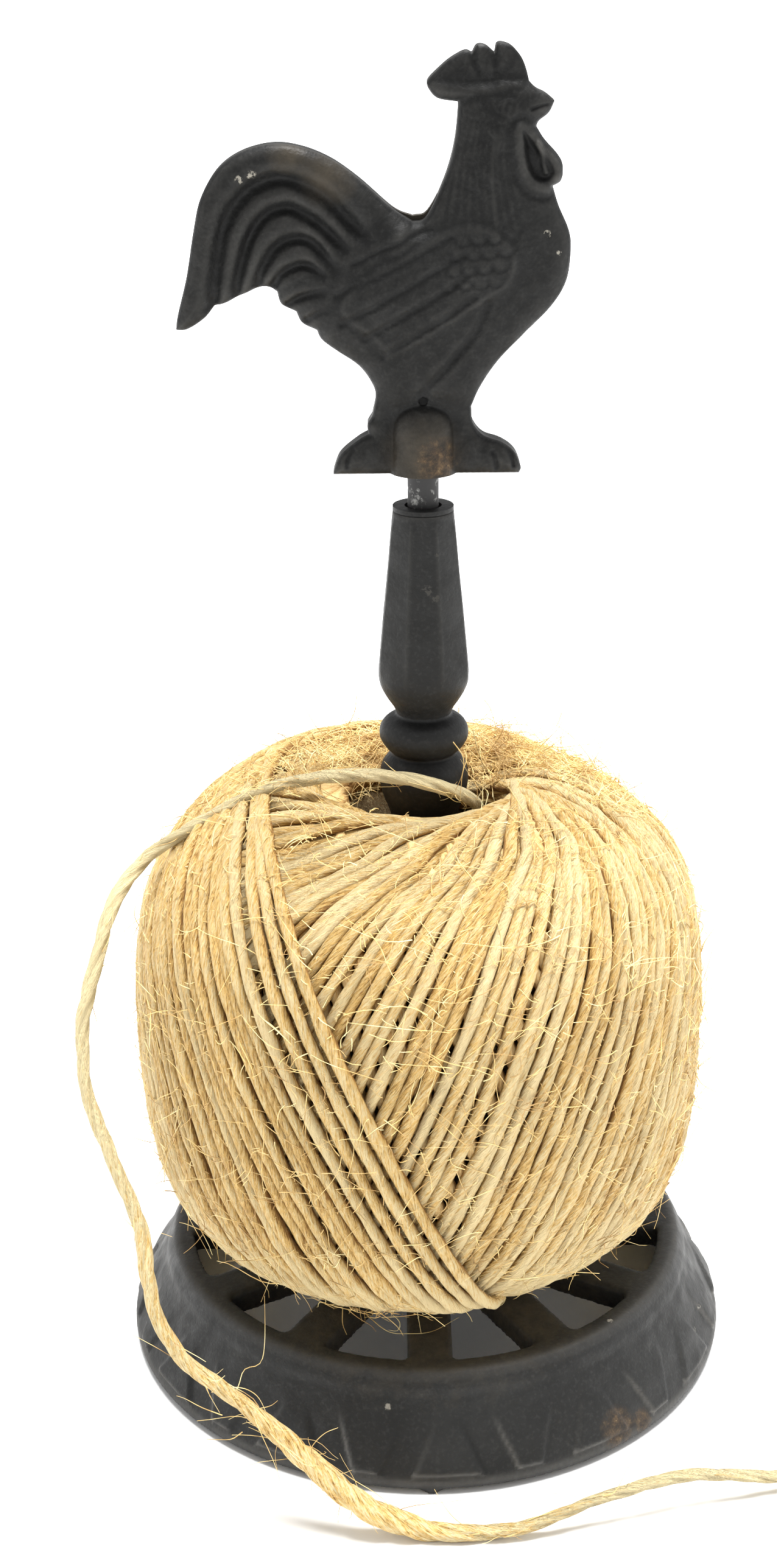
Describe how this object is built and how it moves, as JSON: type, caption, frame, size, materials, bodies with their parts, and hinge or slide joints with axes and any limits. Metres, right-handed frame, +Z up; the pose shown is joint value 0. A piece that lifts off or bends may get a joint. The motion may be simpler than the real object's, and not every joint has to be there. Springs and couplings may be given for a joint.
{
  "type": "twine holder",
  "caption": "Footed cast iron base with a turned column and a cast rooster finial, holding a ball of sisal twine that spins on the column with its loose end led down to the table.",
  "frame": {"origin": "on the rod's axis, at the height of the surface the three cast feet stand on", "axes": "+Z up along the rod, +X the way the rooster faces, -Y the side the picture was taken from"},
  "size_m": [0.1853, 0.167, 0.3127],
  "materials": {
    "iron": "black paint over rough cast iron, worn and rusted in places",
    "steel": "dull bar stock with worn black paint",
    "sisal": "two-ply twisted sisal with loose fibres"
  },
  "bodies": {
    "stand": {"base_casting": "iron", "spindle_rod": "steel", "base_washer": "steel", "base_lock_washer": "steel", "base_nut": "steel"},
    "column": {"column": "iron", "column_cap": "iron"},
    "ball": {"twine_ball": "sisal", "twine_tail": "sisal"},
    "bush": {"socket_bush": "steel"},
    "rooster": {"rooster_front": "iron", "rooster_back": "iron", "rooster_screw": "steel", "rooster_dowels": "steel"}
  },
  "joints": [
    {"name": "ball_spin", "type": "hinge", "parent": "stand", "child": "ball", "pos_m": [0, 0, 0.09], "axis": [0, 0, 1], "continuous": true},
    {"name": "column_turn", "type": "hinge", "parent": "stand", "child": "column", "pos_m": [0, 0, 0.12], "axis": [0, 0, 1], "continuous": true},
    {"name": "rooster_lift", "type": "slide", "parent": "stand", "child": "bush", "axis": [0, 0, 1], "range_m": [0, 0.03]},
    {"name": "rooster_turn", "type": "hinge", "parent": "bush", "child": "rooster", "pos_m": [0, 0, 0.228], "axis": [0, 0, 1], "continuous": true}
  ]
}
